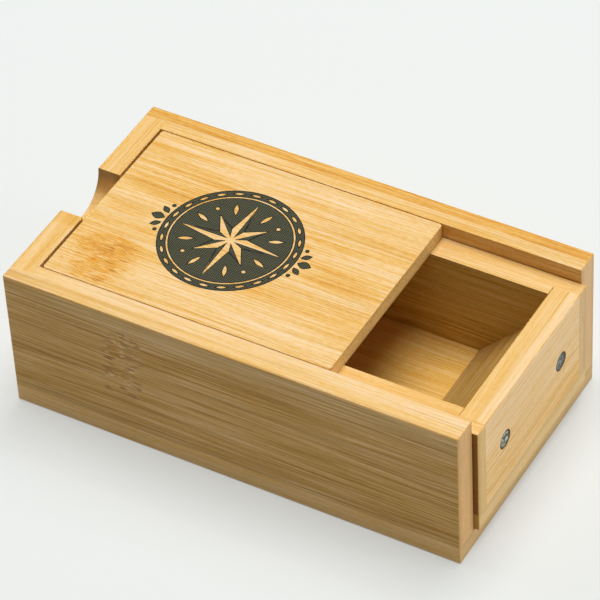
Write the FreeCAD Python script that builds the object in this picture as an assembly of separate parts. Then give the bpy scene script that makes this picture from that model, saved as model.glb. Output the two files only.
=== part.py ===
"""Bamboo dice chest: a tray with one open end, and a dice tower that slides into it on its back.

For storage the tower lies in the tray, front plate up, and its window shows the dice.  For play it
is drawn out past the open end and stood on its foot board inside that end, where two magnets in the
foot board hold it to two in the tray's floor; dice dropped in at the top roll out over the ramp.

Frame: millimetres, +Z up, +X out of the tray's open end, origin at the middle of the tray's
underside.  Left and right are as seen when facing the front plate of the tower stood upright.
"""
import FreeCAD, Part
import math
import os

# Tray
tray_length = 120.0
tray_width = 68.7
tray_height = 40.3
tray_floor_thickness = 5.0
tray_side_thickness = 6.7
tray_end_thickness = 6.1
tray_corner_skin = 3.8       # what a side wall keeps outside the end wall's tongue
thumb_notch_radius = 8.5     # half round, centred on the end wall's top edge

# Tower
foot_overhang = 1.4          # the foot board stands this far out past the tray's open end
front_plate_thickness = 4.1
back_board_thickness = 4.9
tower_side_thickness = 6.4
foot_board_thickness = 6.8
tower_corner_skin = 3.7      # what a tower side keeps outside the foot board's tongue
window_length = 30.8         # from the front plate to the foot board
ramp_run = 18.3              # along the back board, from the ramp's toe to the foot board
ramp_angle = 46.0            # degrees, between the ramp and the back board
ramp_thickness = 4.0

# Magnets
magnet_diameter = 5.0
magnet_thickness = 2.0
magnet_inset = 13.2          # from the tower's sides to the magnets' centres

# Clearances
side_clearance = 0.2         # each side, tower to tray wall
floor_clearance = 0.3        # under the tower
home_clearance = 0.7         # tower to end wall, pushed right in
magnet_hole_clearance = 0.05
magnet_recess = 0.1

# Sanded edges
tray_edge_radius = 0.35
tower_edge_radius = 0.35
plate_corner_radius = 0.8    # the front plate's corners, seen from the front
plate_edge_radius = 0.2
arris_radius = 0.12          # edges beside the tower and round the thumb notch, only eased

# Tray, worked out
closed_end_x = -tray_length / 2
open_end_x = tray_length / 2
tray_half_width = tray_width / 2
channel_half_width = tray_half_width - tray_side_thickness
end_wall_inner_x = closed_end_x + tray_end_thickness

# Tower, worked out
tower_half_width = channel_half_width - side_clearance
tower_inner_half_width = tower_half_width - tower_side_thickness
tower_top_x = end_wall_inner_x + home_clearance
foot_face_x = open_end_x + foot_overhang
foot_inner_x = foot_face_x - foot_board_thickness
tower_back_z = tray_floor_thickness + floor_clearance
tower_floor_z = tower_back_z + back_board_thickness
tower_side_top_z = tray_height - front_plate_thickness
front_plate_end_x = foot_inner_x - window_length

# Magnets, worked out
foot_magnet_z = (tower_floor_z + tower_side_top_z) / 2
tray_magnet_x = open_end_x - (foot_magnet_z - tower_back_z)
left_magnet_y = magnet_inset - tower_half_width
right_magnet_y = tower_half_width - magnet_inset

ALONG_X = FreeCAD.Vector(1, 0, 0)
ALONG_Y = FreeCAD.Vector(0, 1, 0)
ALONG_Z = FreeCAD.Vector(0, 0, 1)
NEAR = 1e-4


def board(x_span, y_span, z_span):
    """A plain sawn board between three pairs of limits."""
    size = [high - low for low, high in (x_span, y_span, z_span)]
    corner = FreeCAD.Vector(x_span[0], y_span[0], z_span[0])
    return Part.makeBox(*size, corner)


def edges_on(solid, **plane):
    """Edges that lie in a plane, such as x=3.0; several planes give the line where they cross."""
    found = []
    for edge in solid.Edges:
        bounds = edge.BoundBox
        limits = {"x": (bounds.XMin, bounds.XMax), "y": (bounds.YMin, bounds.YMax), "z": (bounds.ZMin, bounds.ZMax)}
        if all(abs(end - value) < NEAR for name, value in plane.items() for end in limits[name]):
            found.append(edge)
    return found


def sanded(solid, radius, edges):
    """Round the listed edges, each once."""
    chosen = []
    for edge in edges:
        if not any(edge.isSame(other) for other in chosen):
            chosen.append(edge)
    return solid.makeFillet(radius, chosen)


def magnet(centre, outward):
    """A disc magnet whose outer face is centred on a point, just under the wood."""
    face = centre - outward * magnet_recess
    return Part.makeCylinder(magnet_diameter / 2, magnet_thickness, face, -outward)


def magnet_hole(centre, outward):
    """The blind hole that a magnet is glued into."""
    radius = magnet_diameter / 2 + magnet_hole_clearance
    return Part.makeCylinder(radius, magnet_thickness + magnet_recess, centre, -outward)


def tray_magnet_centre(y):
    return FreeCAD.Vector(tray_magnet_x, y, tray_floor_thickness)


def foot_magnet_centre(y):
    return FreeCAD.Vector(foot_face_x, y, foot_magnet_z)


def tray_floor():
    """The floor runs under all three walls and carries the tray's two magnets."""
    solid = board((closed_end_x, open_end_x), (-tray_half_width, tray_half_width), (0, tray_floor_thickness))
    outline = edges_on(solid, z=0)
    for x in (closed_end_x, open_end_x):
        for y in (-tray_half_width, tray_half_width):
            outline += edges_on(solid, x=x, y=y)
    solid = sanded(solid, tray_edge_radius, outline)
    for y in (left_magnet_y, right_magnet_y):
        solid = solid.cut(magnet_hole(tray_magnet_centre(y), ALONG_Z))
    return solid


def tray_side_wall(side):
    """A long wall, rebated inside its closed end for the end wall's tongue."""
    outer_y = side * tray_half_width
    inner_y = side * channel_half_width
    skin_y = side * (tray_half_width - tray_corner_skin)
    wall = board((closed_end_x, open_end_x), sorted((inner_y, outer_y)), (tray_floor_thickness, tray_height))
    rebate = board((closed_end_x, end_wall_inner_x), sorted((inner_y, skin_y)), (tray_floor_thickness, tray_height))
    solid = wall.cut(rebate)
    exposed = edges_on(solid, y=outer_y, z=tray_height)
    for x in (closed_end_x, open_end_x):
        exposed += edges_on(solid, x=x, y=outer_y) + edges_on(solid, x=x, z=tray_height)
    solid = sanded(solid, tray_edge_radius, exposed)
    free = [
        edge for edge in edges_on(solid, y=inner_y)
        if edge.BoundBox.ZMax > tray_floor_thickness + NEAR and edge.BoundBox.XMax > end_wall_inner_x + NEAR
    ]
    return sanded(solid, arris_radius, free)


def tray_end_wall():
    """The closed end, let into both side walls, with the half-round thumb notch in its top edge."""
    half_width = tray_half_width - tray_corner_skin
    solid = board((closed_end_x, end_wall_inner_x), (-half_width, half_width), (tray_floor_thickness, tray_height))
    notch_start = FreeCAD.Vector(closed_end_x, 0, tray_height)
    solid = solid.cut(Part.makeCylinder(thumb_notch_radius, tray_end_thickness, notch_start, ALONG_X))
    solid = sanded(solid, tray_edge_radius, edges_on(solid, x=closed_end_x, z=tray_height))
    notch = next(face for face in solid.Faces if getattr(face.Surface, "Radius", 0) == thumb_notch_radius)
    return sanded(solid, arris_radius, notch.Edges + edges_on(solid, x=end_wall_inner_x, z=tray_height))


def tower_back_board():
    """The tower's back, which lies on the tray's floor and carries the other boards."""
    y_span = (-tower_half_width, tower_half_width)
    solid = board((tower_top_x, foot_face_x), y_span, (tower_back_z, tower_floor_z))
    outline = edges_on(solid, z=tower_back_z)
    for x in (tower_top_x, foot_face_x):
        for y in y_span:
            outline += edges_on(solid, x=x, y=y)
    return sanded(solid, tower_edge_radius, outline)


def tower_side(side):
    """A side of the tower, rebated inside its foot end for the foot board's tongue."""
    outer_y = side * tower_half_width
    inner_y = side * tower_inner_half_width
    skin_y = side * (tower_half_width - tower_corner_skin)
    z_span = (tower_floor_z, tower_side_top_z)
    solid = board((tower_top_x, foot_face_x), sorted((inner_y, outer_y)), z_span)
    solid = solid.cut(board((foot_inner_x, foot_face_x), sorted((inner_y, skin_y)), z_span))
    exposed = edges_on(solid, x=tower_top_x, y=outer_y) + edges_on(solid, x=foot_face_x, y=outer_y)
    exposed += edges_on(solid, x=foot_face_x, z=tower_side_top_z)
    return sanded(solid, tower_edge_radius, exposed)


def tower_front_plate():
    """The decorated front, glued over both sides; it stops short of the foot to leave the window."""
    y_span = (-tower_half_width, tower_half_width)
    solid = board((tower_top_x, front_plate_end_x), y_span, (tower_side_top_z, tray_height))
    corners = [edge for x in (tower_top_x, front_plate_end_x) for y in y_span for edge in edges_on(solid, x=x, y=y)]
    solid = sanded(solid, plate_corner_radius, corners)
    return sanded(solid, plate_edge_radius, edges_on(solid, z=tray_height))


def tower_foot_board():
    """The board that the tower stands on, let into both sides, with its two magnets' holes."""
    half_width = tower_half_width - tower_corner_skin
    z_span = (tower_floor_z, tower_side_top_z)
    solid = board((foot_inner_x, foot_face_x), (-half_width, half_width), z_span)
    lips = edges_on(solid, x=foot_face_x, z=tower_side_top_z) + edges_on(solid, x=foot_inner_x, z=tower_side_top_z)
    solid = sanded(solid, tower_edge_radius, lips)
    for y in (left_magnet_y, right_magnet_y):
        solid = solid.cut(magnet_hole(foot_magnet_centre(y), ALONG_X))
    return solid


def tower_ramp():
    """The slanted board that turns falling dice out through the window, bevelled to sit at both ends."""
    slope = math.radians(ramp_angle)
    toe_x = foot_inner_x - ramp_run
    head_z = tower_floor_z + ramp_run * math.tan(slope)
    profile = [
        (toe_x, tower_floor_z),
        (toe_x + ramp_thickness / math.sin(slope), tower_floor_z),
        (foot_inner_x, head_z - ramp_thickness / math.cos(slope)),
        (foot_inner_x, head_z),
    ]
    points = [FreeCAD.Vector(x, -tower_inner_half_width, z) for x, z in profile]
    face = Part.Face(Part.makePolygon(points + points[:1]))
    return face.extrude(ALONG_Y * (2 * tower_inner_half_width))


PIECES = {
    "tray_floor": tray_floor(),
    "tray_front_wall": tray_side_wall(-1),
    "tray_back_wall": tray_side_wall(1),
    "tray_end_wall": tray_end_wall(),
    "tray_magnet_left": magnet(tray_magnet_centre(left_magnet_y), ALONG_Z),
    "tray_magnet_right": magnet(tray_magnet_centre(right_magnet_y), ALONG_Z),
    "tower_back_board": tower_back_board(),
    "tower_left_side": tower_side(-1),
    "tower_right_side": tower_side(1),
    "tower_front_plate": tower_front_plate(),
    "tower_foot_board": tower_foot_board(),
    "tower_ramp": tower_ramp(),
    "tower_magnet_left": magnet(foot_magnet_centre(left_magnet_y), ALONG_X),
    "tower_magnet_right": magnet(foot_magnet_centre(right_magnet_y), ALONG_X),
}

os.makedirs("parts", exist_ok=True)
for name, shape in PIECES.items():
    shape.exportStep("parts/" + name + ".step")
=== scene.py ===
"""Looks for the bamboo dice chest: bamboo, magnets, engraving, studio and camera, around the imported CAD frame.

Metres, in the frame of the CAD model: +X out of the tray's open end, +Z up, origin under the tray's middle.
The bamboo and the engraving are laid out in millimetres, along the same axes.
"""
import math
from dataclasses import dataclass

import bmesh
import bpy
from mathutils import Matrix, Vector


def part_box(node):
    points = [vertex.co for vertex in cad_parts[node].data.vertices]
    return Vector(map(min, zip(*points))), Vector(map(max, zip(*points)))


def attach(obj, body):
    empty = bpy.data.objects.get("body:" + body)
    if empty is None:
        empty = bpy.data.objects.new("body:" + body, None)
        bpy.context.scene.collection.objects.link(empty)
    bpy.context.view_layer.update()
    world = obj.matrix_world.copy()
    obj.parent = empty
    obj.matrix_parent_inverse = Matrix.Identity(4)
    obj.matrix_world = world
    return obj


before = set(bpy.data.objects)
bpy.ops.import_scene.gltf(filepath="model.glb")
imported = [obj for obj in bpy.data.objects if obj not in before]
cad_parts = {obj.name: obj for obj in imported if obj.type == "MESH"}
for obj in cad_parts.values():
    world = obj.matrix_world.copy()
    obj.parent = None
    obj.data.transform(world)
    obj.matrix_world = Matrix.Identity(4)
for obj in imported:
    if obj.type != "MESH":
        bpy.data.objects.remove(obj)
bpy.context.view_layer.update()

MM = 0.001
AXES = {"X": 0, "Y": 1, "Z": 2}
BUMP_DISTANCE = 0.3 * MM
ROUGHNESS_NOISE = (0.3, 0.7)         # the part of a noise's range that drives a roughness


def srgb(red, green, blue):
    """A colour as read off a screen, 0 to 255, in the linear values that Blender takes."""
    def linear(value):
        value /= 255
        return value / 12.92 if value <= 0.04045 else ((value + 0.055) / 1.055) ** 2.4
    return linear(red), linear(green), linear(blue)


def darkened(color, share):
    return tuple(share * value for value in color)


def show(name, data):
    """A new object in the scene, from a mesh, light or camera."""
    piece = bpy.data.objects.new(name, data)
    bpy.context.scene.collection.objects.link(piece)
    return piece


# ---------------------------------------------------------------- shader nodes

class Shader:
    """One material's node tree, with a short call for each kind of node used here."""

    def __init__(self, name):
        self.material = bpy.data.materials.new(name)
        self.material.use_nodes = True
        self.tree = self.material.node_tree
        self.surface = self.tree.nodes["Principled BSDF"]

    def add(self, kind, inputs=(), **settings):
        """A node with its settings; inputs maps a socket's name or number to a value or another socket."""
        node = self.tree.nodes.new(kind)
        for key, value in settings.items():
            setattr(node, key, value)
        for key, value in dict(inputs).items():
            self.put(node.inputs[key], value)
        return node

    def put(self, socket, value):
        if isinstance(value, bpy.types.NodeSocket):
            self.tree.links.new(value, socket)
        elif socket.type == "RGBA":
            socket.default_value = (*value, 1.0)
        else:
            socket.default_value = value

    def math(self, operation, *values, clamp=False):
        return self.add("ShaderNodeMath", enumerate(values), operation=operation, use_clamp=clamp).outputs[0]

    def total(self, *terms):
        """A sum of (weight, value) terms."""
        result = 0.0
        for weight, value in terms:
            result = self.math("MULTIPLY_ADD", value, weight, result)
        return result

    def greatest(self, *values):
        result, *others = values
        for value in others:
            result = self.math("MAXIMUM", result, value)
        return result

    def vector(self, x, y, z):
        return self.add("ShaderNodeCombineXYZ", {"X": x, "Y": y, "Z": z}).outputs[0]

    def split(self, vector):
        return self.add("ShaderNodeSeparateXYZ", {0: vector}).outputs

    def vector_math(self, operation, *values):
        return self.add("ShaderNodeVectorMath", enumerate(values), operation=operation).outputs

    def noise(self, vector, scale=1.0, detail=2.0, roughness=0.5):
        inputs = {"Vector": vector, "Scale": scale, "Detail": detail, "Roughness": roughness}
        return self.add("ShaderNodeTexNoise", inputs).outputs["Fac"]

    def step(self, value, low, high, start=0.0, end=1.0):
        """A smooth step from start, where value is low, to end, where it is high."""
        inputs = {"Value": value, "From Min": low, "From Max": high, "To Min": start, "To Max": end}
        return self.add("ShaderNodeMapRange", inputs, interpolation_type="SMOOTHSTEP").outputs[0]

    def mix(self, factor, first, second, blend="MIX"):
        node = self.add("ShaderNodeMix", data_type="RGBA", blend_type=blend)
        for key, value in ((0, factor), (6, first), (7, second)):
            self.put(node.inputs[key], value)
        return node.outputs[2]

    def finish(self, color, roughness, height=None, bump=0.0, fixed=()):
        """Feeds the surface; fixed names its plain values, which go straight onto its own sockets."""
        self.put(self.surface.inputs["Base Color"], color)
        self.put(self.surface.inputs["Roughness"], roughness)
        for key, value in dict(fixed).items():
            self.surface.inputs[key].default_value = value
        if height is not None:
            inputs = {"Strength": bump, "Distance": BUMP_DISTANCE, "Height": height}
            self.put(self.surface.inputs["Normal"], self.add("ShaderNodeBump", inputs).outputs[0])
        return self.material


# ---------------------------------------------------------------- bamboo

# Face grain from a strip's dark skin to its pale pith, by tone
GRAIN_TONES = (
    (0.00, srgb(212, 142, 50)), (0.18, srgb(228, 164, 66)), (0.36, srgb(236, 181, 88)),
    (0.52, srgb(241, 194, 113)), (0.68, srgb(246, 205, 139)), (0.84, srgb(249, 213, 160)),
    (1.00, srgb(252, 220, 178)),
)
PLAIN_TONE = 0.56                    # before streaks, layers and patches
AMBER_EDGE = srgb(230, 172, 86)      # where sanding rounded an edge
PORE = srgb(120, 84, 44)
GLUE = srgb(176, 116, 52)

# What a darker place lets through of the colour under it
BROWN_FIBRE = (0.74, 0.70, 0.60)
LEAST_FACE_SHADE = (1.0, 1.0, 0.87)         # painted face shade, even where it is thinnest: a warm tint for faces in shade
END_RIM = (0.45, 0.40, 0.32)         # end grain near the faces, where its bundles crowd

# Millimetres; a size is that of a noise's features, along, across and through the board
WANDER, WANDER_SIZE = 2.0, (90.0, 15.0, 15.0)  # how fibres stray over a board's length
THROW, THROW_SIZE = 1.2, (3.2, 2.6, 4.0)       # how a knuckle throws them aside
RAGGED_SIZE = (4.0, 2.0, 4.0)        # the outline of a knuckle
MOTTLE_SIZE = (3.0, 1.4, 3.0)        # the inside of a knuckle
FLECK_LENGTH, FLECK_WIDTH = 2.4, 0.60
CLUSTER_SIZE = (5.0, 3.0, 4.0)       # groups of flecks
WORN_SIZE = (12.0, 12.0, 12.0)       # stretches of amber along the edges
PORE_CELL = (0.5, 0.5)               # end grain, from one bundle to the next
LAYER_CELL = (9.0, 0.7)              # end grain, along a layer and from one to the next
# how far the painted shade of the slit at the tower's foot reaches along the grain, and over how much it fades
SLIT_SHADE_LENGTH, SLIT_SHADE_FADE = 1.9, 0.3
STRIP_GLUE, LAYER_GLUE = 0.16, 0.10  # half widths of the glue lines

# Weights and shares
CANE_TONE = 0.20                     # how much the cane that a strip came from changes its tone
CANE_SPREAD = 61.0                   # how far apart in the noise two canes may lie
RAGGED = 1.8                         # how far noise pushes the outline of a knuckle in or out
MOTTLE, MOTTLE_FIBRES = 0.9, 1.0     # in the tone inside a knuckle
FLECKS, FLECK_CLUSTER = 1.0, 0.6
FACE_SHADE_THINNING = 0.5                  # share that fully streaky painted face shade loses everywhere
OUTER_FACE_SHADE = 0.25                    # share of the painted face shade on the outside of the tower's sides
DARK_LAYER = 0.92                    # share of its colour that the darkest layer of end grain keeps
RIM_SHARE = 0.28
PORE_DEPTH = 0.5
GLUE_SHARE = 0.25
AMBER_SHARES = (0.30, 0.80)          # least and most on a rounded edge
BAMBOO_ROUGHNESS, BAMBOO_BUMP, BAMBOO_SPECULAR = 0.50, 0.25, 0.3

# Where a smooth step starts and where it is full
FACING_STEP = (0.6, 0.9)             # part of the normal along an axis: faces that way
ROUNDED_STEP = (0.99, 0.90)          # greatest part of the normal: rounded off
KNUCKLE_STEP = (1.3, 0.1)            # distance from a knuckle: inside it
KNUCKLE_CORE_STEP = (0.1, 0.6)       # inside it: far enough in for flecks
PATCH_STEP = (1.0, 0.0)              # distance from a patch: inside it
BROWN_STEP = (0.0, 0.17)
FLECK_STEP = 0.14                    # from none, at its rarity, to full
LAYER_STEP = (0.35, 0.65)
PORE_STEP = (0.50, 0.15)
RIM_STEP = (0.30, 1.0)
AMBER_STEP = (-0.12, 0.12)


@dataclass
class Streak:
    """A kind of streak along the grain: its size in millimetres, its noise, and its weight in each use."""

    length: float
    width: float
    detail: float = 2.0
    roughness: float = 0.5
    tone: float = 0.0
    brown: float = 0.0
    face_shade: float = 0.0
    relief: float = 0.0
    gloss: float = 0.0


STREAKS = [
    Streak(90.0, 5.0, detail=3.0, tone=0.55),
    Streak(70.0, 1.6, tone=0.45, face_shade=1.2),
    Streak(30.0, 0.60, roughness=0.6, tone=0.65, face_shade=1.6, relief=0.6, gloss=0.25),
    Streak(20.0, 0.30, detail=1.0, tone=1.50, face_shade=2.4, relief=0.4),
    Streak(1.6, 0.30, detail=1.0, tone=0.70),
    Streak(90.0, 2.4, brown=0.5),
    Streak(60.0, 0.42, detail=1.0, brown=0.6),
]
MOTTLE_STREAK = Streak(1.4, 0.35, roughness=0.6)


@dataclass
class Board:
    """How one board was cut and worn, and where shade is painted on it: everything in millimetres, along the CAD
    frame's own axes.
    """

    node: str
    grain: str                       # the axis that the fibres follow
    seed: float
    strip: float = 20.0              # width of the strips across the face
    seam: float = 0.0                # where one of their joints lies
    split: float = 3.3               # depth of the lower of its two layers
    tones: tuple = (0.0, 0.0)        # what each layer adds to the tone
    tone: float = 0.0                # what the whole board adds to it
    contrast: float = 1.0            # how strongly its streaks show
    brown: float = 0.35              # how strongly its brown fibres do
    calm: float = 0.45               # how much quieter both are on its long edges
    face_shade: tuple = None               # painted shade: what its broad faces let through, where they lie in shade
    streaky: float = 0.0             # how unevenly they do
    inside: int = 0                  # -1 or 1: the painted face shade is full only on that side, inside the tower
    end: tuple = srgb(222, 180, 128)  # colour of its end grain
    speckle: float = 0.12            # how dark the pores in it are
    knots: tuple = ()                # knuckles of the cane: (along, across, half length, half width)
    flecks: tuple = ()               # short marks in the knuckles: (colour, how rare)
    patches: tuple = ()              # other stretches: (along, across, half length, half width, tone)
    slit_shade: tuple = None             # painted shade: what its outer side lets through next to the tower's foot, in the slit beside the tray's wall
    tilt: float = 0.0                # degrees that it leans about the Y axis

    def __post_init__(self):
        low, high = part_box(self.node)
        self.low, self.high = low / MM, high / MM
        size = self.high - self.low
        others = (axis for axis in "XYZ" if axis != self.grain)
        self.across, self.through = sorted(others, key=lambda axis: -size[AXES[axis]])
        if self.tilt:
            self.across, self.through = "X", "Z"

    def span(self, axis):
        """The board's lower and upper limits along an axis."""
        return self.low[AXES[axis]], self.high[AXES[axis]]


class Grain(Shader):
    """Strip-laminated bamboo as one solid texture, so that faces, edges and end grain agree.

    Its coordinates run along the grain, across the face and through the thickness.
    """

    def __init__(self, board):
        super().__init__("bamboo_" + board.node)
        self.board = board
        place = self.add("ShaderNodeTexCoord")
        position = self.add("ShaderNodeVectorMath", {0: place.outputs["Object"], 3: 1 / MM}, operation="SCALE")
        position, normal = position.outputs[0], place.outputs["Normal"]
        if board.tilt:
            position = self.level(position, (board.low + board.high) / 2)
            normal = self.level(normal, (0, 0, 0))
        axes = [AXES[axis] for axis in (board.grain, board.across, board.through)]
        parts = self.split(position)
        self.along, self.across, self.through = (parts[axis] for axis in axes)
        normal = [self.math("ABSOLUTE", part) for part in self.split(normal)]
        self.squareness = self.greatest(*normal)
        facing = [self.step(part, *FACING_STEP) for part in normal]
        self.on_end, self.on_edge, self.on_face = (facing[axis] for axis in axes)
        self.on_side = facing[AXES["Y"]]
        self.quiet = self.math("MULTIPLY_ADD", self.on_edge, -board.calm, 1.0)
        self.lay_strips()
        self.lay_fibres()

    def level(self, vector, centre):
        """A slanted board's coordinates, turned until it lies flat."""
        inputs = {"Vector": vector, "Center": centre, "Angle": math.radians(self.board.tilt)}
        return self.add("ShaderNodeVectorRotate", inputs, rotation_type="Y_AXIS").outputs[0]

    def reach(self, centre, middle, half_length, half_width):
        """0 at a spot's centre, 1 at the ends of its length and width, and more outside."""
        u = self.math("DIVIDE", self.math("SUBTRACT", self.along, centre), half_length)
        v = self.math("DIVIDE", self.math("SUBTRACT", self.across, middle), half_width)
        return self.math("ADD", self.math("MULTIPLY", u, u), self.math("POWER", self.math("ABSOLUTE", v), 3.0))

    def fibres(self, streak):
        """Noise drawn out along the fibres, a set of its own in every strip, around 0."""
        vector = self.vector(self.math("ADD", self.math("DIVIDE", self.along, streak.length), self.shift),
                             self.math("DIVIDE", self.flow, streak.width),
                             self.math("DIVIDE", self.through, streak.width))
        return self.math("SUBTRACT", self.noise(vector, detail=streak.detail, roughness=streak.roughness), 0.5)

    def patch(self, along, across, through, detail=2.0):
        """Noise in features of about that size, the same in every strip, around 0."""
        vector = self.vector(self.math("DIVIDE", self.along, along), self.math("DIVIDE", self.across, across),
                             self.math("MULTIPLY_ADD", self.through, 1.0 / through, self.board.seed))
        return self.math("SUBTRACT", self.noise(vector, detail=detail), 0.5)

    def streaks(self, use):
        """The (weight, value) terms of the streaks in one use, such as tone or face shade."""
        return [(getattr(streak, use), value) for streak, value in self.laid if getattr(streak, use)]

    def cell(self, across, through):
        """Coordinates in the end grain, in cells of that size."""
        return self.vector(self.math("DIVIDE", self.across, across), self.math("DIVIDE", self.through, through),
                           self.board.seed)

    def lay_strips(self):
        """Two layers of strips, each strip cut from a cane of its own."""
        board = self.board
        bottom, top = board.span(board.through)
        self.strip_place = self.math("DIVIDE", self.math("SUBTRACT", self.across, board.seam), board.strip)
        self.depth = self.math("SUBTRACT", self.through, bottom)
        self.off_middle = self.math("MULTIPLY_ADD", self.depth, 2.0 / (top - bottom), -1.0)
        self.upper = self.math("GREATER_THAN", self.depth, board.split)
        pick = self.vector(self.math("FLOOR", self.strip_place), self.upper, board.seed)
        self.cane = self.add("ShaderNodeTexWhiteNoise", {"Vector": pick}).outputs["Value"]
        self.shift = self.math("MULTIPLY_ADD", self.cane, CANE_SPREAD, board.seed)

    def lay_fibres(self):
        """Streaks run straight, except where a knuckle throws them about."""
        wander = self.patch(*WANDER_SIZE, detail=0.0)
        self.flow = self.math("ADD", self.across, self.math("MULTIPLY_ADD", wander, WANDER, self.shift))
        self.knuckle = 0.0
        for knot in self.board.knots:
            outline = self.math("MULTIPLY_ADD", self.patch(*RAGGED_SIZE, detail=3.0), RAGGED, self.reach(*knot))
            self.knuckle = self.math("MAXIMUM", self.knuckle, self.step(outline, *KNUCKLE_STEP))
        if self.board.knots:
            throw = self.math("MULTIPLY", self.patch(*THROW_SIZE), self.knuckle)
            self.flow = self.math("MULTIPLY_ADD", throw, THROW, self.flow)
        self.laid = [(streak, self.fibres(streak)) for streak in STREAKS]

    def tone(self):
        """0 for a strip's dark skin to 1 for its pale pith."""
        board = self.board
        streaks = self.total((CANE_TONE, self.math("SUBTRACT", self.cane, 0.5)), *self.streaks("tone"))
        layer = self.math("MULTIPLY_ADD", self.upper, board.tones[1] - board.tones[0], board.tones[0])
        tone = self.math("MULTIPLY_ADD", streaks, self.math("MULTIPLY", self.quiet, board.contrast), layer)
        tone = self.math("ADD", tone, PLAIN_TONE + board.tone)
        for *place, change in board.patches:
            tone = self.math("MULTIPLY_ADD", self.step(self.reach(*place), *PATCH_STEP), change, tone)
        if board.knots:
            mottle = self.total((MOTTLE, self.patch(*MOTTLE_SIZE)), (MOTTLE_FIBRES, self.fibres(MOTTLE_STREAK)))
            tone = self.math("MULTIPLY_ADD", self.knuckle, mottle, tone)
        return tone

    def face(self):
        """The colour of the faces and long edges."""
        ramp = self.add("ShaderNodeValToRGB", {"Fac": self.tone()})
        stops = ramp.color_ramp.elements
        while len(stops) < len(GRAIN_TONES):
            stops.new(0.5)
        for stop, (position, color) in zip(stops, GRAIN_TONES):
            stop.position, stop.color = position, (*color, 1.0)
        brown = self.step(self.total(*self.streaks("brown")), *BROWN_STEP)
        brown = self.math("MULTIPLY", self.math("MULTIPLY", brown, self.quiet), self.board.brown)
        return self.mix(brown, ramp.outputs["Color"], BROWN_FIBRE, "MULTIPLY")

    def face_shaded(self, color):
        """Painted shade on the broad faces that lie in shade, deeper along some fibres; the tower's sides have it
        in full only inside, in the window.
        """
        board = self.board
        shade_amount = self.math("MULTIPLY_ADD", self.total(*self.streaks("face_shade")), -board.streaky,
                          1.0 - FACE_SHADE_THINNING * board.streaky, clamp=True)
        shade_amount = self.math("MULTIPLY", shade_amount, self.on_face)
        if board.inside:
            inner = self.math("GREATER_THAN", self.math("MULTIPLY", self.off_middle, board.inside), 0.0)
            shade_amount = self.math("MULTIPLY", shade_amount, self.math("MULTIPLY_ADD", inner, 1.0 - OUTER_FACE_SHADE, OUTER_FACE_SHADE))
        color = self.mix(self.on_face, color, LEAST_FACE_SHADE, "MULTIPLY")
        return self.mix(shade_amount, color, board.face_shade, "MULTIPLY")

    def slit_shade(self, color):
        """Painted shade: darker in the last stretch before the tower's foot face, where the slit beside the tray's
        wall lies in shade.
        """
        start = self.board.span(self.board.grain)[1] - SLIT_SHADE_LENGTH
        shade_mask = self.math("MULTIPLY", self.step(self.along, start - SLIT_SHADE_FADE, start), self.on_side)
        return self.mix(shade_mask, color, self.board.slit_shade, "MULTIPLY")

    def flecked(self, color):
        """Short marks in several colours in the knuckles."""
        for i, (fleck, rarity) in enumerate(self.board.flecks):
            along, across, through = CLUSTER_SIZE
            marks = self.total((FLECKS, self.fibres(Streak(FLECK_LENGTH + i, FLECK_WIDTH, detail=1.0))),
                               (FLECK_CLUSTER, self.patch(along, across, through + i, detail=1.0)))
            marks = self.math("MULTIPLY", self.step(marks, rarity, rarity + FLECK_STEP),
                              self.step(self.knuckle, *KNUCKLE_CORE_STEP))
            color = self.mix(marks, color, fleck)
        return color

    def end_grain(self, dots):
        """Smooth and layered, darker near the faces, with the bundles cut across as dots."""
        board = self.board
        layering = self.step(self.noise(self.cell(*LAYER_CELL)), *LAYER_STEP)
        color = self.mix(layering, board.end, darkened(board.end, DARK_LAYER))
        rim = self.step(self.math("ABSOLUTE", self.off_middle), *RIM_STEP, 0.0, RIM_SHARE)
        color = self.mix(rim, color, END_RIM, "MULTIPLY")
        return self.mix(self.math("MULTIPLY", dots, board.speckle), color, PORE)

    def glue_line(self, place, half_width):
        """1 on a joint at each whole number, fading out over the half width."""
        away = self.math("ABSOLUTE", self.math("SUBTRACT", place, self.math("ROUND", place)))
        return self.step(away, half_width, 0.0)

    def glued(self, color):
        """Faint glue lines between strips and between layers."""
        board = self.board
        layer_place = self.math("DIVIDE", self.depth, board.split)
        lines = self.math("MAXIMUM", self.glue_line(self.strip_place, STRIP_GLUE / board.strip),
                          self.glue_line(layer_place, LAYER_GLUE / board.split))
        return self.mix(self.math("MULTIPLY", lines, GLUE_SHARE), color, GLUE)

    def worn(self, color):
        """Amber, more here and less there, where sanding rounded an edge."""
        amount = self.step(self.patch(*WORN_SIZE), *AMBER_STEP, *AMBER_SHARES)
        rounded = self.step(self.squareness, *ROUNDED_STEP)
        return self.mix(self.math("MULTIPLY", rounded, amount), color, AMBER_EDGE)


def bamboo(board):
    shader = Grain(board)
    color = shader.face()
    # painted shade on the broad faces of boards that lie in shade
    if board.face_shade:
        color = shader.face_shaded(color)
    # painted shade in the slit beside the tray's wall at the tower's foot
    if board.slit_shade:
        color = shader.slit_shade(color)
    color = shader.flecked(color)
    bundles = {"Vector": shader.cell(*PORE_CELL), "Scale": 1.0, "Randomness": 0.8}
    dots = shader.step(shader.add("ShaderNodeTexVoronoi", bundles).outputs["Distance"], *PORE_STEP)
    color = shader.mix(shader.on_end, color, shader.end_grain(dots))
    color = shader.worn(shader.glued(color))
    pits = shader.math("MULTIPLY", dots, shader.on_end)
    height = shader.total(*shader.streaks("relief"), (-PORE_DEPTH * board.speckle, pits))
    roughness = shader.math("ADD", shader.total(*shader.streaks("gloss")), BAMBOO_ROUGHNESS)
    return shader.finish(color, roughness, height, BAMBOO_BUMP, {"Specular IOR Level": BAMBOO_SPECULAR})


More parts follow.
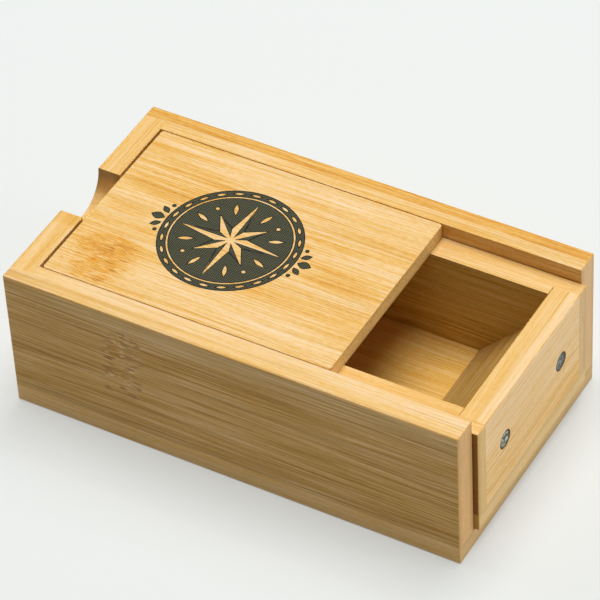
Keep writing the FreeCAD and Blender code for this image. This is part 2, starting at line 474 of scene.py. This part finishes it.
BOARDS = [
    Board("tray_floor", "X", 1, tone=0.12, end=srgb(222, 184, 124)),
    # Its outer face lies in shade: its face shade, darker and more olive, is painted shade.
    Board("tray_front_wall", "X", 2, strip=24.5, seam=32.5, split=3.2, tones=(0.04, 0.10),
          contrast=0.7, calm=0.15, brown=1.0, face_shade=(0.68, 0.66, 0.49), streaky=1.0,
          end=srgb(232, 185, 120), patches=[(0.0, 37.2, 90.0, 2.6, 0.16)],
          knots=[(-28.5, 25.0, 6.0, 12.0)],
          # The first, pale flecks stand in partly for painted highlights on broken fibres, on a face in shade.
          flecks=[(srgb(250, 226, 166), 0.12), (srgb(184, 136, 78), 0.04), (srgb(156, 110, 56), 0.14)]),
    Board("tray_back_wall", "X", 3, strip=24.5, split=3.5, tones=(0.06, -0.22), calm=0.25,
          end=srgb(234, 192, 134)),
    # Its end grain shows on the notch's sides, which lie in shade: its darker end colour is partly painted shade.
    Board("tray_end_wall", "Y", 4, strip=22.0, end=srgb(194, 145, 76), speckle=0.4,
          patches=[(-10.0, 40.3, 3.2, 2.0, -0.20)]),
    # Painted shade on its side in the slit at the tower's foot, and a warm painted face shade on its broad faces.
    Board("tower_back_board", "X", 5, tone=-0.04, contrast=0.7, face_shade=(1.0, 0.98, 0.87),
          end=srgb(240, 204, 138), slit_shade=(0.58, 0.56, 0.48)),
    # The tower's sides: painted face shade in full on their inner faces in the window, and painted slit shade
    # outside the left one at the foot.
    Board("tower_left_side", "X", 6, tone=-0.05, face_shade=(0.63, 0.75, 0.54), streaky=0.6, inside=1,
          end=srgb(234, 194, 124), slit_shade=(0.25, 0.17, 0.055)),
    Board("tower_right_side", "X", 7, tone=0.02, face_shade=(0.63, 0.75, 0.54), streaky=0.6, inside=-1,
          end=srgb(230, 192, 134)),
    Board("tower_front_plate", "X", 8, strip=24.5, seam=21.2, split=8.0, contrast=0.85,
          end=srgb(232, 192, 120), speckle=0.55, knots=[(-43.0, -18.5, 8.0, 9.0)],
          flecks=[(srgb(246, 208, 140), 0.18), (srgb(234, 164, 56), 0.03), (srgb(202, 130, 44), 0.14)],
          patches=[(-38.0, 12.0, 22.0, 8.0, -0.14), (13.0, -2.0, 14.0, 3.5, -0.22),
                   (-46.0, -1.2, 8.0, 2.0, -0.22), (0.0, -22.0, 50.0, 5.0, 0.10),
                   (0.0, 23.0, 60.0, 5.0, 0.12), (-42.0, -18.0, 10.0, 10.0, -0.25)]),
    Board("tower_foot_board", "Y", 9, split=4.3, tones=(-0.08, 0.16), contrast=0.8,
          patches=[(0.0, 33.0, 60.0, 9.0, 0.12), (0.0, 10.0, 60.0, 9.0, -0.14)]),
    # The ramp lies deep in the window: its face shade is painted shade.
    Board("tower_ramp", "Y", 10, tone=-0.12, brown=0.6, face_shade=(0.66, 0.66, 0.67), tilt=46.0),
]


# ---------------------------------------------------------------- dressing the CAD nodes

WELD_DISTANCE = 0.001 * MM
SHARP = math.radians(35)             # an edge that turns by more than this is eased
BOARD_BEVEL, MAGNET_BEVEL = 0.10 * MM, 0.15 * MM

# Painted glints: the colour that each magnet's mottle lifts it to, brighter on the near (left) magnets than on the
# far (right) ones.
NICKEL_GLINT = {"left": srgb(204, 206, 188), "right": srgb(136, 140, 134)}
NICKEL_SCUFFED = srgb(66, 70, 66)
# painted shade in the gap round each magnet
NICKEL_GAP_SHADE = srgb(38, 40, 34)
SCUFFS, GLINTS = 2200.0, 900.0      # to a metre; the second sizes the painted glints
GLINT_RANGE = (0.42, 0.66)
NICKEL_GAP_SHADE_STEP = (2.05 * MM, 2.55 * MM)
NICKEL_GAP_SHADE_UNEVEN = 0.6 * MM
NICKEL_ROUGHNESS = (0.25, 0.60)
NICKEL_BUMP, NICKEL_METALLIC = 0.6, 0.85
DISC_LIMIT = 3 * MM                  # more than a magnet's thickness and less than its diameter


def dress(node, material, bevel):
    """Gives a CAD node its material, and eases its sharp edges a little with modifiers."""
    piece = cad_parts[node]
    piece.data.materials.clear()
    piece.data.materials.append(material)
    weld = piece.modifiers.new("weld", "WELD")
    weld.merge_threshold = WELD_DISTANCE
    ease = piece.modifiers.new("ease", "BEVEL")
    ease.width, ease.segments, ease.limit_method = bevel, 2, "ANGLE"
    ease.angle_limit = SHARP
    ease.use_clamp_overlap = True
    ease.harden_normals = True


def nickel(name, glint):
    """Dull nickel plating: a scuffed face, mottled up to a brighter colour as painted glints, in a dark rim of
    painted shade from the gap round it.
    """
    shader = Shader("nickel_" + name)
    low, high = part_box(name)
    place = shader.add("ShaderNodeTexCoord").outputs["Object"]
    away = shader.vector_math("SUBTRACT", place, (low + high) / 2)[0]
    flat = tuple(float(side > DISC_LIMIT) for side in high - low)
    away = shader.vector_math("MULTIPLY", away, flat)[0]
    radius = shader.vector_math("LENGTH", away)["Value"]
    scuffs = shader.noise(place, SCUFFS, detail=3.0)
    mottle = shader.noise(place, GLINTS)
    # painted glints where the mottle is high
    color = shader.mix(shader.step(mottle, *GLINT_RANGE), NICKEL_SCUFFED, glint)
    # painted shade in the gap round the magnet, made a little uneven by the mottle
    rim = shader.step(shader.math("MULTIPLY_ADD", mottle, NICKEL_GAP_SHADE_UNEVEN, radius), *NICKEL_GAP_SHADE_STEP)
    color = shader.mix(rim, color, NICKEL_GAP_SHADE)
    roughness = shader.step(scuffs, *ROUGHNESS_NOISE, *NICKEL_ROUGHNESS)
    return shader.finish(color, roughness, scuffs, NICKEL_BUMP, {"Metallic": NICKEL_METALLIC})


for board in BOARDS:
    dress(board.node, bamboo(board), BOARD_BEVEL)
for side, glint in NICKEL_GLINT.items():
    for name in ("tray_magnet_" + side, "tower_magnet_" + side):
        dress(name, nickel(name, glint), MAGNET_BEVEL)


# ---------------------------------------------------------------- engraving

PLATE_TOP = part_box("tower_front_plate")[1].z
EIGHTH = math.tau / 8

# Millimetres, and radians round the centre
MEDALLION = Vector((-18.3, 0.3))     # its centre on the front plate
RING_RADII = (17.5, 15.4, 14.8)      # outside of a dark band, of a bare line and of the dark field
RING_LEAVES, RING_LEAF_RADIUS, RING_LEAF_HALF, RING_LEAF_WIDTH = 24, 16.45, 0.088, 0.9
STAR_RADII = (13.6, 9.4)             # long and short points by turns
STAR_HOLLOW = 4.2                    # radius of the corners between them
FACET_CENTRE, FACET_TURN = 0.5, 0.3  # inner corner of a point's dark half: radius, and share of an eighth
FACET_MARGIN = 0.17                  # bare line left round it
RAY_RADII, RAY_WIDTH = (8.6, 12.9), 1.2        # a leaf between two points
STUD, STUD_RADIUS = 0.6, 11.7                  # a dot beyond each short point
CREST_RADII, CREST_WIDTH = (18.1, 21.6), 2.2   # the middle leaf above the ring, and below it
BUD_RADII, BUD_TURNS, BUD_WIDTH = (18.1, 20.4), (0.10, 0.17), 1.4  # the leaf on each side of that
BERRY, BERRY_RADIUS, BERRY_TURN = 0.45, 18.7, 0.25                 # the dot beside that leaf
CIRCLE_STEPS, DOT_STEPS, LEAF_STEPS = 96, 16, 12
LINE_HALF_WIDTH = 0.11
SHARPEST_MITRE = 0.35                # cosine of half the turn at which a line's mitre stops growing
SUNK = -0.02                         # where the engraving starts, just under the plate's face
FILL_HEIGHT, LINE_HEIGHT = 0.015, 0.030
DOT_CELL = 0.34                      # side of a square in the laser's chequer

CHEQUER_STEP = (-0.35, 0.75)
CHAR_GRAIN = (60.0, 2200.0)          # streaks to a metre, along the grain and across it
CHAR_GRAIN_STEP, CHAR_GRAIN_SHADE = (0.30, 0.70), 0.70
CHAR_ROUGHNESS, CHAR_BUMP, CHAR_SPECULAR = (0.70, 0.85), 0.2, 0.25


def polar(radius, angle):
    return Vector((radius * math.cos(angle), radius * math.sin(angle)))


def circle(radius, centre=Vector((0, 0)), count=DOT_STEPS):
    return [centre + polar(radius, math.tau * i / count) for i in range(count)]


def leaf(start, end, width):
    """A pointed oval between two points."""
    along, side = end - start, (end - start).orthogonal().normalized() * width / 2
    shares = [i / LEAF_STEPS for i in range(LEAF_STEPS)]
    there = [start + along * share + side * math.sin(math.pi * share) for share in shares]
    return there + [end - along * share - side * math.sin(math.pi * share) for share in shares]


def shrunk(triangle, margin):
    """A triangle drawn in by a margin on every side, about the centre of its inscribed circle."""
    first, second, third = triangle
    sides = [(second - third).length, (third - first).length, (first - second).length]
    centre = sum((corner * side for corner, side in zip(triangle, sides)), Vector((0, 0))) / sum(sides)
    area = abs((second - first).cross(third - first)) / 2
    return [centre + (corner - centre) * (1 - margin * sum(sides) / (2 * area)) for corner in triangle]


def medallion():
    """Closed contours of an eight-pointed compass star in a ring, with leaves above and below it.

    Points are (up, right) from the centre; each contour inside another turns dark to bare or back.
    """
    contours = [circle(radius, count=CIRCLE_STEPS) for radius in RING_RADII]
    for i in range(RING_LEAVES):
        angle = math.tau * (i + 0.5) / RING_LEAVES
        start, end = (polar(RING_LEAF_RADIUS, angle + turn) for turn in (-RING_LEAF_HALF, RING_LEAF_HALF))
        contours.append(leaf(start, end, RING_LEAF_WIDTH))
    star = []
    for i in range(8):
        tip, hollow = polar(STAR_RADII[i % 2], i * EIGHTH), polar(STAR_HOLLOW, (i + 0.5) * EIGHTH)
        star += [tip, hollow]
        contours.append(shrunk([polar(FACET_CENTRE, (i + FACET_TURN) * EIGHTH), tip, hollow], FACET_MARGIN))
        contours.append(leaf(*(polar(radius, (i + 0.5) * EIGHTH) for radius in RAY_RADII), RAY_WIDTH))
        if i % 2:
            contours.append(circle(STUD, polar(STUD_RADIUS, i * EIGHTH)))
    contours.append(star)
    for pole in (0, math.pi):
        contours.append(leaf(*(polar(radius, pole) for radius in CREST_RADII), CREST_WIDTH))
        for side in (-1, 1):
            base, tip = (polar(radius, pole + side * turn) for radius, turn in zip(BUD_RADII, BUD_TURNS))
            contours.append(leaf(base, tip, BUD_WIDTH))
            contours.append(circle(BERRY, polar(BERRY_RADIUS, pole + side * BERRY_TURN)))
    return contours


def on_plate(point, height):
    """A contour's point, over the front plate; the design is upright when the tower stands on its foot."""
    return Vector(((MEDALLION.x - point.x) * MM, (MEDALLION.y + point.y) * MM, PLATE_TOP + height * MM))


def filled(name, contours, height):
    """A thin solid up to a height over the plate, filled between the contours."""
    curve = bpy.data.curves.new(name, "CURVE")
    curve.dimensions, curve.fill_mode, curve.extrude = "2D", "BOTH", (height - SUNK) / 2 * MM
    for contour in contours:
        spline = curve.splines.new("POLY")
        spline.points.add(len(contour) - 1)
        for knot, point in zip(spline.points, contour):
            knot.co = (*on_plate(point, 0).to_2d(), 0.0, 1.0)
        spline.use_cyclic_u = True
    source = bpy.data.objects.new(name, curve)
    mesh = bpy.data.meshes.new_from_object(source)
    mesh.transform(Matrix.Translation((0, 0, on_plate(Vector((0, 0)), (SUNK + height) / 2).z)))
    bpy.data.objects.remove(source)
    return mesh


def outlined(name, contours, height):
    """Thin bands along the contours, mitred at their corners."""
    mesh = bmesh.new()
    for contour in contours:
        rings = []
        for before, here, after in zip(contour[-1:] + contour[:-1], contour, contour[1:] + contour[:1]):
            first, second = (here - before).normalized(), (after - here).normalized()
            middle = (first + second).normalized()
            offset = Vector((-middle.y, middle.x)) * LINE_HALF_WIDTH / max(middle.dot(first), SHARPEST_MITRE)
            rings.append([mesh.verts.new(on_plate(here + offset * side, level))
                          for side, level in ((-1, SUNK), (1, SUNK), (1, height), (-1, height))])
        for ring, following in zip(rings, rings[1:] + rings[:1]):
            for i in range(4):
                j = (i + 1) % 4
                mesh.faces.new((ring[i], ring[j], following[j], following[i]))
    bmesh.ops.recalc_face_normals(mesh, faces=mesh.faces)
    data = bpy.data.meshes.new(name)
    mesh.to_mesh(data)
    mesh.free()
    return data


def scorched(name, dark, light):
    """Laser-darkened bamboo: a fine chequer of dark and lighter dots, with the grain showing faintly."""
    shader = Shader(name)
    place = shader.add("ShaderNodeTexCoord").outputs["Object"]
    turn = {"Vector": place, "Angle": math.radians(45)}
    turned = shader.split(shader.add("ShaderNodeVectorRotate", turn, rotation_type="Z_AXIS").outputs[0])
    waves = [shader.math("SINE", shader.math("MULTIPLY", part, math.pi / (DOT_CELL * MM))) for part in turned[:2]]
    chequer = shader.step(shader.math("MULTIPLY", *waves), *CHEQUER_STEP)
    grain = shader.vector_math("MULTIPLY", place, (*CHAR_GRAIN, 1.0))[0]
    grain = shader.noise(grain, detail=3.0)
    light = shader.mix(shader.step(grain, *CHAR_GRAIN_STEP), darkened(light, CHAR_GRAIN_SHADE), light)
    color = shader.mix(chequer, dark, light)
    roughness = shader.step(grain, *ROUGHNESS_NOISE, *CHAR_ROUGHNESS)
    return shader.finish(color, roughness, chequer, CHAR_BUMP, {"Specular IOR Level": CHAR_SPECULAR})


design = medallion()
for name, make, height, dark, light in (
        ("engraving_fill", filled, FILL_HEIGHT, srgb(38, 40, 30), srgb(114, 113, 86)),
        ("engraving_lines", outlined, LINE_HEIGHT, srgb(34, 34, 28), srgb(46, 44, 36))):
    mesh = make(name, design, height)
    mesh.materials.clear()
    mesh.materials.append(scorched(name, dark, light))
    piece = show(name, mesh)
    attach(piece, "tower")


# ---------------------------------------------------------------- studio and camera

FLOOR_SEEN = srgb(238, 241, 239)
FLOOR_SHADE = 0.58                   # how much of the floor's look comes from the light on it
FLOOR_BOUNCE = (0.64, 0.64, 0.61)    # its colour for the light that it throws back onto the chest
FLOOR_ROUGHNESS = 0.9
FLOOR_HALF_WIDTH = 6.0
FLOOR_HEIGHT = -0.1 * MM
WORLD_STRENGTH = 0.165
LAMPS = (                            # name, direction that it shines from, distance, size, power
    ("key", (0.02, 0.10, 1.0), 1.3, 0.8, 11.6),
    ("back", (0.0, 0.52, 1.0), 1.6, 0.5, 3.4),
    ("left", (-1.0, 0.10, 0.75), 2.0, 1.0, 5.5),
    ("side", (1.0, 0.25, 0.12), 2.0, 0.7, 14.8),
)

AZIMUTH, ELEVATION, ROLL = math.radians(31.66), math.radians(42.95), math.radians(-3.43)
TARGET = Vector((-5.0, 8.2, 20.0)) * MM
CAMERA_DISTANCE = 887.8 * MM
LENS, SENSOR = 223.06, 36.0          # millimetres
CLIP_START, CLIP_END = 0.05, 50.0


def build_floor():
    """A pale ground: seen directly it is nearly white and keeps a soft shadow, and it throws back little light."""
    shader = Shader("floor")
    rays = shader.add("ShaderNodeLightPath").outputs
    seen = shader.greatest(rays["Is Camera Ray"], rays["Is Glossy Ray"], rays["Is Transmission Ray"])
    color = shader.mix(seen, FLOOR_BOUNCE, darkened(FLOOR_SEEN, FLOOR_SHADE))
    material = shader.finish(color, FLOOR_ROUGHNESS, fixed={"Specular IOR Level": 0.0,
                                                            "Emission Color": (*FLOOR_SEEN, 1.0)})
    shader.put(shader.surface.inputs["Emission Strength"], shader.math("MULTIPLY", seen, 1.0 - FLOOR_SHADE))
    mesh = bpy.data.meshes.new("floor")
    corners = [(x * FLOOR_HALF_WIDTH, y * FLOOR_HALF_WIDTH, FLOOR_HEIGHT)
               for x, y in ((-1, -1), (1, -1), (1, 1), (-1, 1))]
    mesh.from_pydata(corners, [], [(0, 1, 2, 3)])
    mesh.materials.append(material)
    show("floor", mesh)


def build_world():
    """Even white light, which the camera sees as the floor's colour."""
    world = bpy.data.worlds.new("studio")
    bpy.context.scene.world = world
    world.use_nodes = True
    nodes, links = world.node_tree.nodes, world.node_tree.links
    rays = nodes.new("ShaderNodeLightPath")
    mix = nodes.new("ShaderNodeMixShader")
    lit, seen = nodes["Background"], nodes.new("ShaderNodeBackground")
    lit.inputs["Color"].default_value = (1.0, 1.0, 1.0, 1.0)
    lit.inputs["Strength"].default_value = WORLD_STRENGTH
    seen.inputs["Color"].default_value = (*FLOOR_SEEN, 1.0)
    links.new(rays.outputs["Is Camera Ray"], mix.inputs[0])
    links.new(lit.outputs[0], mix.inputs[1])
    links.new(seen.outputs[0], mix.inputs[2])
    links.new(mix.outputs[0], nodes["World Output"].inputs["Surface"])


def build_lamp(name, direction, distance, size, power):
    """An area lamp that shines at the middle of the chest from a direction."""
    data = bpy.data.lights.new(name, "AREA")
    data.size, data.energy = size, power
    lamp = show(name, data)
    lamp.visible_camera = False
    away = Vector(direction).normalized()
    lamp.location = away * distance
    lamp.rotation_euler = (-away).to_track_quat("-Z", "Y").to_euler()


def build_camera():
    """The photograph's view: it looks at TARGET from an azimuth and elevation, with a slight roll."""
    back = Vector((math.sin(AZIMUTH) * math.cos(ELEVATION), -math.cos(AZIMUTH) * math.cos(ELEVATION),
                   math.sin(ELEVATION)))
    level = Vector((math.cos(AZIMUTH), math.sin(AZIMUTH), 0.0))
    over = back.cross(level)
    right = level * math.cos(ROLL) + over * math.sin(ROLL)
    up = back.cross(right)
    data = bpy.data.cameras.new("camera")
    data.lens, data.sensor_width = LENS, SENSOR
    data.clip_start, data.clip_end = CLIP_START, CLIP_END
    camera = show("camera", data)
    turn = Matrix((right, up, back)).transposed().to_4x4()
    camera.matrix_world = Matrix.Translation(TARGET + back * CAMERA_DISTANCE) @ turn
    bpy.context.scene.camera = camera


build_camera()
build_floor()
build_world()
for lamp in LAMPS:
    build_lamp(*lamp)
bpy.context.scene.view_settings.view_transform = "Standard"
